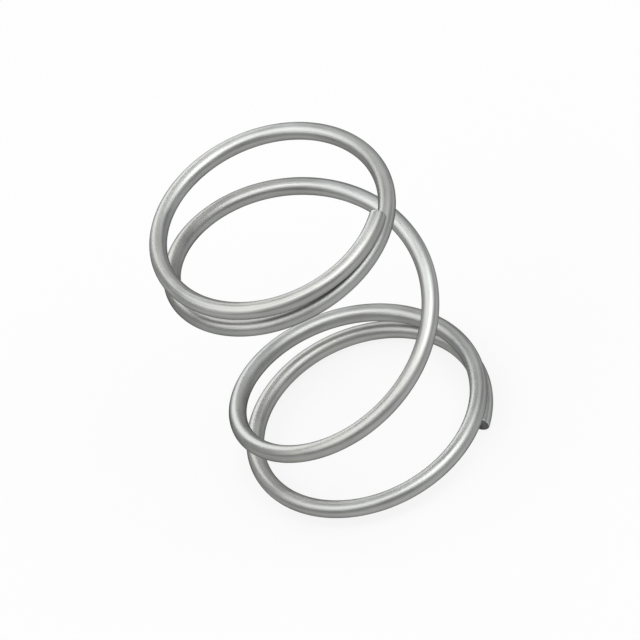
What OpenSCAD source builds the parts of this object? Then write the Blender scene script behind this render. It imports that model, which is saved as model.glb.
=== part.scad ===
// Helical compression spring of round wire, with closed ends that are left unground.
// It stands on its lower end: the coil's axis is Z, the underside of the lowest turn
// is at z = 0, and both ends of the wire are cut square on the +X side.
// The pitch is not constant. The end turns lie against their neighbours, and between
// them the pitch widens evenly up to the middle of the coil and narrows again.

/* [Wire] */
// Diameter of the round wire
wire_d = 1.6; // [1:0.1:2]
// Width of the chamfer round each cut end of the wire
end_chamfer = 0.05; // [0.02:0.01:0.2]

/* [Coil] */
// Outer diameter over the turns
outer_d = 22.86; // [18:0.02:32]
// Length over the end turns with no load on the spring
free_length = 31.75; // [26:0.25:48]
// Turns from one end of the wire to the other
total_turns = 4; // [4:0.25:8]
// Turns at each end that lie against their neighbour
closed_turns = 1; // [0.75:0.25:1]
// Turns over which the pitch opens up, next to each closed end
opening_turns = 1; // [0.5:0.25:1]
// Clearance between a closed turn and the turn next to it
closed_gap = 0.03; // [0.02:0.01:0.1]
// Which way the coil is wound
winding = "right"; // [right, left]

/* [Smoothness] */
// Steps along the wire, from one end to the other
steps = 256; // [128:16:256]
// Sides of the wire's cross-section
sides = 20; // [12:4:20]

/* [Hidden] */

wire_r = wire_d / 2;
mean_d = outer_d - wire_d;
hand = winding == "right" ? 1 : -1;

// Rise of the wire in each closed turn
closed_pitch = wire_d + closed_gap;
// Turns between the closed ends
open_turns = total_turns - 2 * closed_turns;
// Rise that the open turns add to that of a coil closed from end to end
extra_rise = free_length - wire_d - closed_pitch * total_turns;
// Pitch at the middle of the coil, over that of the closed turns
extra_pitch = extra_rise / (open_turns - opening_turns);
// Turn at which the pitch begins to narrow again
narrowing_turn = total_turns - closed_turns - opening_turns;
// Turns taken up by the chamfer at the end of the wire
chamfer_turns = end_chamfer / (PI * mean_d);

// How far the pitch has changed, from 0 to 1, at s turns after it began to change
function opened(s) = min(max(s / opening_turns, 0), 1);

// The sum of opened() over those s turns
function opened_sum(s) =
    s <= 0 ? 0
    : s < opening_turns ? s * s / (2 * opening_turns)
    : s - opening_turns / 2;

// Rise per turn of the wire, t turns from its lower end
function pitch(t) =
    closed_pitch + extra_pitch * (opened(t - closed_turns) - opened(t - narrowing_turn));

// Height of the middle of the wire, t turns from its lower end
function height(t) =
    wire_r + closed_pitch * t
    + extra_pitch * (opened_sum(t - closed_turns) - opened_sum(t - narrowing_turn));

// One ring of points round the wire, t turns from its lower end and square to the wire
function ring(t, radius) =
    let (
        turned = hand * 360 * t,
        outward = [cos(turned), sin(turned), 0],
        forward = hand * [-sin(turned), cos(turned), 0],
        slope = atan(pitch(t) / (PI * mean_d)),
        upward = [0, 0, cos(slope)] - forward * sin(slope),
        centre = outward * mean_d / 2 + [0, 0, height(t)]
    )
    [for (side = [0 : sides - 1])
        let (a = 360 * side / sides)
        centre + radius * (outward * cos(a) + upward * hand * sin(a))];

// The wire, swept along its coil as one closed solid
module coiled_wire() {
    inner_steps = [for (i = [1 : steps - 1]) total_turns * i / steps];
    full_rings = concat(chamfer_turns, inner_steps, total_turns - chamfer_turns);
    cut_r = wire_r - end_chamfer;
    rings = concat(
        [ring(0, cut_r)],
        [for (t = full_rings) ring(t, wire_r)],
        [ring(total_turns, cut_r)]
    );
    last = len(rings) - 1;
    lower_cut = [for (side = [0 : sides - 1]) side];
    upper_cut = [for (side = [0 : sides - 1]) (last + 1) * sides - 1 - side];
    skin = [
        for (i = [0 : last - 1], side = [0 : sides - 1])
        let (
            below = i * sides + side,
            below_next = i * sides + (side + 1) % sides,
            above = below + sides,
            above_next = below_next + sides
        )
        each [[below, above, above_next], [below, above_next, below_next]]
    ];
    polyhedron(
        points = [for (r = rings) each r],
        faces = concat([lower_cut, upper_cut], skin)
    );
}

module spring() {
    color([0.62, 0.63, 0.62])
    coiled_wire();
}

spring();
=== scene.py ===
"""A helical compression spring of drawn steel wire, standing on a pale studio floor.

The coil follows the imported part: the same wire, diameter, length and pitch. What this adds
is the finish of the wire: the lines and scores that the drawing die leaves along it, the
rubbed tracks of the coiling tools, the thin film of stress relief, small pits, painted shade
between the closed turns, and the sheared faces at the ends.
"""

import math

import bpy
import numpy as np
from mathutils import Matrix, Vector


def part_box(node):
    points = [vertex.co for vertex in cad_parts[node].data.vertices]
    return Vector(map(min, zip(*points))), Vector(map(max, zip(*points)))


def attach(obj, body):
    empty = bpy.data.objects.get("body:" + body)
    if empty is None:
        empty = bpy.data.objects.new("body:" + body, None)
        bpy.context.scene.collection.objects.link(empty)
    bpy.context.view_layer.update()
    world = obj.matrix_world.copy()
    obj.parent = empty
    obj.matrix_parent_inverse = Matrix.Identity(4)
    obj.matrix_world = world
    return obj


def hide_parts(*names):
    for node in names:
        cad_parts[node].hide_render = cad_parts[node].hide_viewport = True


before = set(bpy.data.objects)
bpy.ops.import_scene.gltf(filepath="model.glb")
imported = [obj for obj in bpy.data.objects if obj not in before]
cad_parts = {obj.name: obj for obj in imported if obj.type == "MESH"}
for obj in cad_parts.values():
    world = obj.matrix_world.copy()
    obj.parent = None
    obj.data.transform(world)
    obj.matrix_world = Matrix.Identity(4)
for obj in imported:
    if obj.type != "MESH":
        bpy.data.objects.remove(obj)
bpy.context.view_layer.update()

MM = 0.001

# The wire and its coil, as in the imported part
WIRE_D = 1.6 * MM
TOTAL_TURNS = 4
CLOSED_TURNS = 1
OPENING_TURNS = 1
CLOSED_GAP = 0.03 * MM
CUT_ROUNDING = 0.05 * MM

# How finely the wire is drawn: rings along it, sides round it, and rings on each cut face
RINGS_PER_TURN = 300
SIDES = 64
CUT_RINGS = 12
ROUNDING_RINGS = 4

# The cut faces: a smooth part where the blade went in, then a torn part that lies deeper.
# Places on a face are in shares of its radius, from the inside of the coil to the outside.
SMOOTH_FROM = 0.2
TORN_FROM = -0.1
TEAR_DEPTH = 0.03 * MM
TEAR_RIM = 0.15

# The ridges of the torn part: the share of its depth that they take, how closely they lie,
# and how often and how far they sway
TEAR_RIDGE_SHARE = 0.25
TEAR_RIDGES = 34
TEAR_RIDGE_BENDS = 5
TEAR_RIDGE_SWAY = 3

# The texture map: strips of the unrolled wire, one above the other
MAP_STRIPS = 7
MAP_GAP = 0.4 * MM

# The camera: its azimuth, elevation and roll in degrees, and the width that it takes in
CAMERA_AZIMUTH = 34.1
CAMERA_ELEVATION = 46.1
CAMERA_ROLL = 26.1
CAMERA_DISTANCE = 300 * MM
VIEW_WIDTH = 57.3 * MM

# The soft boxes: azimuth, elevation, side and strength, where 1 is white
LAMP_DISTANCE = 400 * MM
SOFT_BOXES = {
    "key": (87, 61, 301 * MM, 4.9),
    "fill": (-49, 61, 434 * MM, 2.68),
    "rim": (-135, 20, 281 * MM, 3.4),
    "back": (166, 36, 314 * MM, 0.88),
}
WORLD_STRENGTH = 0.32

# The floor: how much of it is plain white to the camera and to gloss, and its own grey.
# A camera that stands low looks in under the floor, and sees the sheet below it there.
FLOOR_SIDE = 4.0
FLOOR_WHITE = 0.85
FLOOR_GREY = 0.51
SHEET_DEPTH = 30 * MM

# The steel, clean and under the straw-coloured film that stress relief leaves on it, and
# how strongly the film shows at the most
STEEL = (0.352, 0.360, 0.355)
FILMED_STEEL = (0.325, 0.318, 0.290)
MOST_FILM = 0.4

# The noises of the finish: length along the wire, width across it, and detail
DIE_LINES = (40 * MM, 0.25 * MM, 3)
SCORES = (60 * MM, 0.14 * MM, 1)
MOTTLE = (3.5 * MM, 1.1 * MM, 2)
FILM = (14 * MM, 2.4 * MM, 2)
PITS = (0.32 * MM, 0.14 * MM, 2)
TRACK_WEAR = (9 * MM, 0.5 * MM, 2)
TORN_GRAIN = (0.1 * MM, 0.1 * MM, 4)

# The streaks that the cutting blade leaves: how many to the metre along the wire, out and
# up, and the detail of their noise
BLADE_STREAKS = (0, 1 / MM, 14 / MM)
BLADE_DETAIL = 2

# Nearly all values of a noise lie between these two
NOISE_LOW = 0.3
NOISE_HIGH = 0.7

# The values of a noise at which a mark begins to show and is full
SCORE_ONSET = (0.62, 0.7)
PIT_ONSET = (0.68, 0.76)
WEAR_ONSET = (0.42, 0.6)

# The two rubbed tracks: how far each lies from the middle of the wire's outer side, how
# far from the track's own middle it fades, and how far out on the wire it sets in
TRACK_OFFSET = 0.38 * MM
TRACK_FADES = (0.04 * MM, 0.16 * MM)
TRACK_SETS_IN = (0, 0.3 * MM)

# How far from a cut its rubbed edge fades
RUBBED_CUT_FADES = (0.04 * MM, 0.22 * MM)

# The painted shade between turns, which darkens the colour by ambient occlusion: how far off a
# turn still darkens it, and how open a place is where it is darkest and where it ends
PAINTED_SHADE_REACH = 0.9 * MM
PAINTED_SHADE_OPENNESS = (0.3, 0.95)

# The tones of the drawn wire, where 1 is the steel's own colour
LINE_TONES = (0.9, 1.1)
MOTTLE_TONES = (0.92, 1.08)
SCORED_TONE = 0.84
PITTED_TONE = 0.78
RUBBED_TONE = 1.16
# Painted shade: the colour between the turns darkens to this tone where they lie closest
PAINTED_SHADE_TONE = 0.7

# Its roughness, with what the mottle adds to it and what rubbing takes from it
LINE_ROUGHNESS = (0.40, 0.48)
MOTTLE_ROUGHNESS = (-0.03, 0.03)
RUBBED_SMOOTHER = 0.08

# Its relief, and the depth of a score or a pit as a share of that
WIRE_RELIEF = 0.006 * MM
MARK_DEPTH = 0.5

# The tones of the cut faces, with what the blade's streaks add, and their roughness
TORN_TONES = (0.22, 0.36)
STREAK_TONE = 0.16
TORN_ROUGHNESS = 0.6
SMOOTH_ROUGHNESS = 0.42

# Their relief, and the heights of the smooth part's grain and streaks as shares of that
CUT_RELIEF = 0.012 * MM
SMOOTH_GRAIN = 0.1
STREAK_HEIGHT = 0.3


# The coil

def cad_sizes():
    """The coil's mean radius and free length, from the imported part's own box."""
    low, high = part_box("spring")
    return (high.x - low.x - WIRE_D) / 2, high.z - low.z


MEAN_R, FREE_LENGTH = cad_sizes()
WIRE_R = WIRE_D / 2
CUT_R = WIRE_R - CUT_ROUNDING
CLOSED_PITCH = WIRE_D + CLOSED_GAP
NARROWING_TURN = TOTAL_TURNS - CLOSED_TURNS - OPENING_TURNS
EXTRA_PITCH = (FREE_LENGTH - WIRE_D - CLOSED_PITCH * TOTAL_TURNS) / (
    TOTAL_TURNS - 2 * CLOSED_TURNS - OPENING_TURNS
)
COIL_MIDDLE = Vector((0, 0, FREE_LENGTH / 2))


def opened(turns):
    """How far the pitch has changed, from 0 to 1, that many turns after it began to."""
    return np.clip(turns / OPENING_TURNS, 0, 1)


def opened_sum(turns):
    """The sum of opened() over those turns."""
    ramp = np.clip(turns, 0, OPENING_TURNS)
    return ramp**2 / (2 * OPENING_TURNS) + np.maximum(turns - OPENING_TURNS, 0)


def pitch(turns):
    """Rise per turn of the wire, that many turns from its lower end."""
    change = opened(turns - CLOSED_TURNS) - opened(turns - NARROWING_TURN)
    return CLOSED_PITCH + EXTRA_PITCH * change


def height(turns):
    """Height of the middle of the wire, that many turns from its lower end."""
    change = opened_sum(turns - CLOSED_TURNS) - opened_sum(turns - NARROWING_TURN)
    return WIRE_R + CLOSED_PITCH * turns + EXTRA_PITCH * change


def wire_axes(turns):
    """For each value of turns: the middle of the wire, and the directions out and up
    across it and forward along it."""
    angle = 2 * math.pi * turns
    zero = np.zeros_like(turns)
    out = np.stack([np.cos(angle), np.sin(angle), zero], -1)
    level = np.stack([-np.sin(angle), np.cos(angle), zero], -1)
    slope = np.arctan(pitch(turns) / (2 * math.pi * MEAN_R))[:, None]
    vertical = np.array([0.0, 0.0, 1.0])
    up = vertical * np.cos(slope) - level * np.sin(slope)
    forward = level * np.cos(slope) + vertical * np.sin(slope)
    middle = out * MEAN_R
    middle[:, 2] = height(turns)
    return middle, out, up, forward


# The wire's mesh

def side_angles():
    """Angles round the wire from its outer side. They start inside the coil, where the
    seam of the texture map doesn't show."""
    return math.pi + 2 * math.pi * np.arange(SIDES) / SIDES


def cut_depth(out_share, up_share):
    """How deep a cut face lies at a place on it."""
    torn = np.clip((SMOOTH_FROM - out_share) / (SMOOTH_FROM - TORN_FROM), 0, 1)
    sway = TEAR_RIDGE_SWAY * np.sin(TEAR_RIDGE_BENDS * out_share)
    ridges = 1 + TEAR_RIDGE_SHARE * np.sin(TEAR_RIDGES * up_share + sway)
    inside_rim = np.clip((1 - np.hypot(out_share, up_share)) / TEAR_RIM, 0, 1)
    return TEAR_DEPTH * torn * inside_rim * ridges


def end_rings():
    """The rings of one end, from the middle of its cut face to the full wire: the radius
    of each, how far it lies behind the cut, and its radius with the rounding unrolled."""
    face = CUT_R * np.arange(1, CUT_RINGS + 1) / CUT_RINGS
    bend = math.pi / 2 * np.arange(1, ROUNDING_RINGS) / ROUNDING_RINGS
    radius = np.concatenate([face, CUT_R + CUT_ROUNDING * np.sin(bend)])
    behind = np.concatenate([np.zeros(CUT_RINGS), CUT_ROUNDING * (1 - np.cos(bend))])
    unrolled = np.concatenate([face, CUT_R + CUT_ROUNDING * bend])
    return radius, behind, unrolled


class Rings:
    """Every ring of the wire, from the lower cut face to the upper one."""

    def __init__(self):
        radius, behind, self.unrolled = end_rings()
        turns_per_length = 1 / (2 * math.pi * MEAN_R)
        inner = np.arange(1, TOTAL_TURNS * RINGS_PER_TURN) / RINGS_PER_TURN
        rounding = CUT_ROUNDING * turns_per_length
        skin = np.concatenate([[rounding], inner, [TOTAL_TURNS - rounding]])
        lower = behind * turns_per_length
        turns = np.concatenate([lower, skin, TOTAL_TURNS - lower[::-1]])
        self.radius = np.concatenate([radius, np.full(len(skin), WIRE_R), radius[::-1]])
        self.per_end = len(radius)
        self.count = len(turns)

        self.middle, self.out, self.up, self.forward = wire_axes(turns)
        steps = np.linalg.norm(np.diff(self.middle, axis=0), axis=1)
        self.along = np.concatenate([[0], np.cumsum(steps)])

    def inward(self):
        """+1 on the rings of the lower cut face, -1 on those of the upper, else 0."""
        sign = np.zeros(self.count)
        sign[:CUT_RINGS] = 1
        sign[self.count - CUT_RINGS:] = -1
        return sign

    def across(self):
        """Each point's place across the wire: towards the outside of the coil, and up."""
        angle = side_angles()
        return self.radius[:, None] * np.cos(angle), self.radius[:, None] * np.sin(angle)

    def points(self):
        """The rings' points, then the middle of the lower and of the upper cut face."""
        out_by, up_by = self.across()
        depth = self.inward()[:, None] * cut_depth(out_by / CUT_R, up_by / CUT_R)
        points = (
            self.middle[:, None]
            + out_by[..., None] * self.out[:, None]
            + up_by[..., None] * self.up[:, None]
            + depth[..., None] * self.forward[:, None]
        )
        sunk = cut_depth(0, 0)
        lower = self.middle[0] + sunk * self.forward[0]
        upper = self.middle[-1] - sunk * self.forward[-1]
        return np.concatenate([points.reshape(-1, 3), [lower, upper]])

    def straight(self):
        """Where each point was before the wire was coiled: X along the wire, Y towards
        the outside of the coil and Z across. The finish is laid on by these."""
        out_by, up_by = self.across()
        along = np.broadcast_to(self.along[:, None], out_by.shape)
        straight = np.stack([along, out_by, up_by], -1).reshape(-1, 3)
        return np.concatenate([straight, [[0, 0, 0], [self.along[-1], 0, 0]]])


def quad_corners(ring_count):
    """The corners of each quad between neighbouring rings, as ring and side. A side of
    SIDES is the first side again, on the far edge of the texture map."""
    ring, side = np.divmod(np.arange((ring_count - 1) * SIDES), SIDES)
    return ring[:, None] + [0, 1, 1, 0], side[:, None] + [0, 0, 1, 1]


def fan_sides():
    """The two sides of each triangle round the middle of a cut face."""
    side = np.arange(SIDES)
    return np.stack([side, side + 1], -1)


def wire_faces(rings):
    ring, side = quad_corners(rings.count)
    quads = ring * SIDES + side % SIDES
    fan = fan_sides() % SIDES
    last = (rings.count - 1) * SIDES
    lower_middle = rings.count * SIDES
    lower = np.column_stack([fan, np.full(SIDES, lower_middle)])
    upper = np.column_stack([last + fan[:, ::-1], np.full(SIDES, lower_middle + 1)])
    return quads.tolist() + lower.tolist() + upper.tolist()


def on_disc(middle, radius, side):
    """A place on a disc of the texture map, at that radius and side of the wire."""
    angle = 2 * math.pi * side / SIDES
    return middle + radius[..., None] * np.stack([np.cos(angle), np.sin(angle)], -1)


def map_of_wire(rings):
    """A place on the texture map for each corner of each face. The wire is unrolled into
    strips, and the two ends lie above them as discs."""
    ring, side = quad_corners(rings.count)
    skin_from = rings.per_end
    skin_to = rings.count - 1 - rings.per_end
    per_strip = math.ceil((skin_to - skin_from) / MAP_STRIPS)
    strip = np.clip((ring[:, :1] - skin_from) // per_strip, 0, MAP_STRIPS - 1)
    strip_from = rings.along[skin_from + strip * per_strip]
    row = math.pi * WIRE_D + MAP_GAP
    places = np.stack(
        [rings.along[ring] - strip_from, strip * row + math.pi * WIRE_D * side / SIDES], -1
    )

    disc_r = rings.unrolled[-1] + CUT_ROUNDING
    disc_up = MAP_STRIPS * row + disc_r
    lower_disc = np.array([disc_r, disc_up])
    upper_disc = lower_disc + [2 * disc_r + MAP_GAP, 0]

    radii = np.append(rings.unrolled, CUT_R + math.pi / 2 * CUT_ROUNDING)
    lower = ring[:, 0] < skin_from
    upper = ring[:, 0] >= skin_to
    places[lower] = on_disc(lower_disc, radii[ring[lower]], side[lower])
    places[upper] = on_disc(upper_disc, radii[rings.count - 1 - ring[upper]], -side[upper])

    fan = np.column_stack([fan_sides(), np.zeros(SIDES, int)])
    fan_radii = np.tile([radii[0], radii[0], 0], (SIDES, 1))
    lower_fan = on_disc(lower_disc, fan_radii, fan)
    upper_fan = on_disc(upper_disc, fan_radii, -fan[:, [1, 0, 2]])

    corners = np.concatenate([v.reshape(-1, 2) for v in (places, lower_fan, upper_fan)])
    corners += MAP_GAP / 2
    return corners / (corners.max() + MAP_GAP / 2)


def build_wire(rings):
    mesh = bpy.data.meshes.new("spring_wire")
    faces = wire_faces(rings)
    mesh.from_pydata(rings.points().tolist(), [], faces)
    mesh.shade_smooth()

    straight = mesh.attributes.new("straight_wire", "FLOAT_VECTOR", "POINT")
    straight.data.foreach_set("vector", rings.straight().astype(np.float32).ravel())
    texture_map = mesh.uv_layers.new(name="OFBake")
    texture_map.data.foreach_set("uv", map_of_wire(rings).astype(np.float32).ravel())

    cut_quads = (CUT_RINGS - 1) * SIDES
    quads = (rings.count - 1) * SIDES
    on_cut = np.ones(len(faces), np.int32)
    on_cut[cut_quads:quads - cut_quads] = 0
    mesh.polygons.foreach_set("material_index", on_cut)
    mesh.update()
    return mesh


# Materials

class Finish:
    """The nodes of one material, with short ways to add the kinds that it uses."""

    def __init__(self, name):
        self.material = bpy.data.materials.new(name)
        self.material.use_nodes = True
        self.nodes = self.material.node_tree.nodes
        self.shader = self.nodes["Principled BSDF"]

    def add(self, kind, inputs, **settings):
        node = self.nodes.new(kind)
        for name, value in settings.items():
            setattr(node, name, value)
        for name, value in inputs.items():
            self.feed(node.inputs[name], value)
        return node

    def feed(self, socket, value):
        if isinstance(value, bpy.types.NodeSocket):
            self.material.node_tree.links.new(value, socket)
        else:
            socket.default_value = value

    def straight_place(self):
        """The place on the wire before it was coiled."""
        attribute = self.add("ShaderNodeAttribute", {}, attribute_name="straight_wire")
        return attribute.outputs["Vector"]

    def parts(self, place):
        """A place's distances: X along the wire, Y towards the outside of the coil, Z up."""
        return self.add("ShaderNodeSeparateXYZ", {"Vector": place}).outputs

    def scaled_noise(self, place, scale, detail):
        stretched = self.add("ShaderNodeMapping", {"Vector": place, "Scale": scale})
        inputs = {"Vector": stretched.outputs["Vector"], "Scale": 1, "Detail": detail}
        return self.add("ShaderNodeTexNoise", inputs).outputs["Fac"]

    def noise(self, place, along, across, detail):
        """Noise, from 0 to 1, whose spots have that size along the wire and across it."""
        return self.scaled_noise(place, (1 / along, 1 / across, 1 / across), detail)

    def ramp(self, value, start, end, low, high):
        """low where the value is at start or before it, high from end on, smooth between."""
        inputs = {"Value": value, 1: start, 2: end, 3: low, 4: high}
        node = self.add("ShaderNodeMapRange", inputs, interpolation_type="SMOOTHSTEP")
        return node.outputs["Result"]

    def spread(self, noise, low, high):
        """The noise, spread out from low to high."""
        return self.ramp(noise, NOISE_LOW, NOISE_HIGH, low, high)

    def marks(self, place, noise, onset):
        """1 on the marks that the peaks of a noise make, and 0 off them."""
        return self.ramp(self.noise(place, *noise), *onset, 0, 1)

    def on_marks(self, marks, factor):
        """That factor on the marks, and 1 off them."""
        return self.ramp(marks, 0, 1, 1, factor)

    def maths(self, operation, first, second=0.0):
        return self.add("ShaderNodeMath", {0: first, 1: second}, operation=operation).outputs[0]

    def product(self, *values):
        total = values[0]
        for value in values[1:]:
            total = self.maths("MULTIPLY", total, value)
        return total

    def tinted(self, colour, tone):
        """The colour, made lighter or darker by the tone."""
        inputs = {0: colour, "Scale": tone}
        return self.add("ShaderNodeVectorMath", inputs, operation="SCALE").outputs["Vector"]

    def blended(self, share, first, second):
        """The first colour, with that share of the second."""
        inputs = {"Fac": share, "Color1": (*first, 1), "Color2": (*second, 1)}
        return self.add("ShaderNodeMixRGB", inputs).outputs["Color"]

    def bump(self, height, depth):
        inputs = {"Height": height, "Distance": depth, "Strength": 1}
        return self.add("ShaderNodeBump", inputs).outputs["Normal"]

    def metal(self, colour, roughness, normal):
        """A metal that reflects less towards its rims."""
        self.feed(self.shader.inputs["Base Color"], colour)
        self.feed(self.shader.inputs["Roughness"], roughness)
        self.feed(self.shader.inputs["Normal"], normal)
        self.shader.inputs["Metallic"].default_value = 1
        self.shader.inputs["Specular Tint"].default_value = (0, 0, 0, 1)
        return self.material


def rubbed_tracks(finish, place):
    """Two lines that the coiling tools rubbed along the outer side, worn here and there."""
    parts = finish.parts(place)
    outer = finish.ramp(parts["Y"], *TRACK_SETS_IN, 0, 1)
    from_track = finish.maths("SUBTRACT", finish.maths("ABSOLUTE", parts["Z"]), TRACK_OFFSET)
    line = finish.ramp(finish.maths("ABSOLUTE", from_track), *TRACK_FADES, 1, 0)
    return finish.product(outer, line, finish.marks(place, TRACK_WEAR, WEAR_ONSET))


def rubbed_cuts(finish, place, length):
    """The edges of the two cuts, where the burr was knocked off."""
    along = finish.parts(place)["X"]
    to_cut = finish.maths("MINIMUM", along, finish.maths("SUBTRACT", length, along))
    return finish.ramp(to_cut, *RUBBED_CUT_FADES, 1, 0)


def drawn_steel(length):
    """Satin spring wire: lines and scores along it from the drawing die, a soft mottle, a
    thin straw-coloured film, small pits, rubbed tracks, bright edges at the cuts, and
    painted shade, a darker colour where a turn lies against the next."""
    f = Finish("drawn_steel")
    place = f.straight_place()
    lines = f.noise(place, *DIE_LINES)
    mottle = f.noise(place, *MOTTLE)
    scores = f.marks(place, SCORES, SCORE_ONSET)
    pits = f.marks(place, PITS, PIT_ONSET)
    rubbed = f.maths("MAXIMUM", rubbed_tracks(f, place), rubbed_cuts(f, place, length))
    # Painted shade: ambient occlusion darkens the colour where a turn lies close to the next
    occlusion = f.add("ShaderNodeAmbientOcclusion", {"Distance": PAINTED_SHADE_REACH}, only_local=True)
    tone = f.product(
        f.spread(lines, *LINE_TONES),
        f.spread(mottle, *MOTTLE_TONES),
        f.on_marks(scores, SCORED_TONE),
        f.on_marks(pits, PITTED_TONE),
        f.on_marks(rubbed, RUBBED_TONE),
        f.ramp(occlusion.outputs["AO"], *PAINTED_SHADE_OPENNESS, PAINTED_SHADE_TONE, 1),
    )
    film = f.product(f.spread(f.noise(place, *FILM), 0, MOST_FILM), f.on_marks(rubbed, 0))
    colour = f.tinted(f.blended(film, STEEL, FILMED_STEEL), tone)
    satin = f.maths("ADD", f.spread(lines, *LINE_ROUGHNESS), f.spread(mottle, *MOTTLE_ROUGHNESS))
    roughness = f.maths("SUBTRACT", satin, f.product(rubbed, RUBBED_SMOOTHER))
    sunk = f.product(f.maths("ADD", scores, pits), MARK_DEPTH)
    relief = f.maths("SUBTRACT", lines, sunk)
    return f.metal(colour, roughness, f.bump(relief, WIRE_RELIEF))


def sheared_steel():
    """The cut faces: bright where the blade slid, dull and grainy where the wire tore."""
    f = Finish("sheared_steel")
    place = f.straight_place()
    smooth = f.ramp(f.parts(place)["Y"], TORN_FROM * CUT_R, SMOOTH_FROM * CUT_R, 0, 1)
    grain = f.noise(place, *TORN_GRAIN)
    streaks = f.product(smooth, f.scaled_noise(place, BLADE_STREAKS, BLADE_DETAIL))
    tone = f.maths("ADD", f.spread(grain, *TORN_TONES), f.product(streaks, STREAK_TONE))
    roughness = f.ramp(smooth, 0, 1, TORN_ROUGHNESS, SMOOTH_ROUGHNESS)
    torn = f.product(grain, f.on_marks(smooth, SMOOTH_GRAIN))
    relief = f.maths("ADD", torn, f.product(streaks, STREAK_HEIGHT))
    return f.metal(f.tinted(STEEL, tone), roughness, f.bump(relief, CUT_RELIEF))


def pale_ground(name, share):
    """That share of it is white to the camera, in gloss and through glass. The rest is
    grey under the lamps, and keeps the spring's shadow. It isn't a lamp, so no light is
    sampled from it."""
    f = Finish(name)
    f.material.cycles.emission_sampling = "NONE"
    f.nodes.remove(f.shader)
    path = f.add("ShaderNodeLightPath", {}).outputs
    seen = f.maths("MAXIMUM", path["Is Camera Ray"], path["Is Glossy Ray"])
    seen = f.maths("MAXIMUM", seen, path["Is Transmission Ray"])
    grey = f.add("ShaderNodeBsdfDiffuse", {"Color": (FLOOR_GREY, FLOOR_GREY, FLOOR_GREY, 1)})
    white = f.add("ShaderNodeEmission", {"Strength": 1})
    inputs = {0: f.product(seen, share), 1: grey.outputs["BSDF"], 2: white.outputs["Emission"]}
    mix = f.add("ShaderNodeMixShader", inputs)
    f.feed(f.nodes["Material Output"].inputs["Surface"], mix.outputs["Shader"])
    return f.material


# The scene

def place_spring():
    rings = Rings()
    mesh = build_wire(rings)
    mesh.materials.append(drawn_steel(rings.along[-1]))
    mesh.materials.append(sheared_steel())
    wire = bpy.data.objects.new("spring_wire", mesh)
    bpy.context.scene.collection.objects.link(wire)
    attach(wire, "root")
    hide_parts("spring")


def place_ground(name, depth, share):
    bpy.ops.mesh.primitive_plane_add(size=FLOOR_SIDE, location=(0, 0, -depth))
    ground = bpy.context.object
    ground.name = name
    ground.data.materials.append(pale_ground(name, share))


def view_direction(azimuth, elevation):
    """From the object towards a camera that stands there, in degrees."""
    a, e = math.radians(azimuth), math.radians(elevation)
    return Vector((math.sin(a) * math.cos(e), -math.cos(a) * math.cos(e), math.sin(e)))


def place_camera():
    data = bpy.data.cameras.new("camera")
    data.type = "ORTHO"
    data.ortho_scale = VIEW_WIDTH
    data.clip_start = 1 * MM
    camera = bpy.data.objects.new("camera", data)
    bpy.context.scene.collection.objects.link(camera)
    back = view_direction(CAMERA_AZIMUTH, CAMERA_ELEVATION)
    level = (-back).to_track_quat("-Z", "Y").to_matrix()
    rolled = level @ Matrix.Rotation(math.radians(-CAMERA_ROLL), 3, "Z")
    camera.rotation_mode = "QUATERNION"
    camera.rotation_quaternion = rolled.to_quaternion()
    camera.location = COIL_MIDDLE + back * CAMERA_DISTANCE
    bpy.context.scene.camera = camera


def place_lamp(name, azimuth, elevation, side, strength):
    """A square soft box that looks at the middle of the spring from that direction."""
    data = bpy.data.lights.new(name, "AREA")
    data.size = side
    data.energy = strength * math.pi * side**2
    lamp = bpy.data.objects.new(name, data)
    bpy.context.scene.collection.objects.link(lamp)
    towards = view_direction(azimuth, elevation)
    lamp.location = COIL_MIDDLE + towards * LAMP_DISTANCE
    lamp.rotation_mode = "QUATERNION"
    lamp.rotation_quaternion = (-towards).to_track_quat("-Z", "Y")
    lamp.visible_camera = False


def light_world():
    world = bpy.data.worlds.new("studio")
    world.use_nodes = True
    background = world.node_tree.nodes["Background"]
    background.inputs["Color"].default_value = (1, 1, 1, 1)
    background.inputs["Strength"].default_value = WORLD_STRENGTH
    bpy.context.scene.world = world


bpy.context.scene.view_settings.view_transform = "Standard"
place_camera()
place_spring()
place_ground("floor", 0, FLOOR_WHITE)
place_ground("sheet_below", SHEET_DEPTH, 1)
light_world()
for name, settings in SOFT_BOXES.items():
    place_lamp(name, *settings)
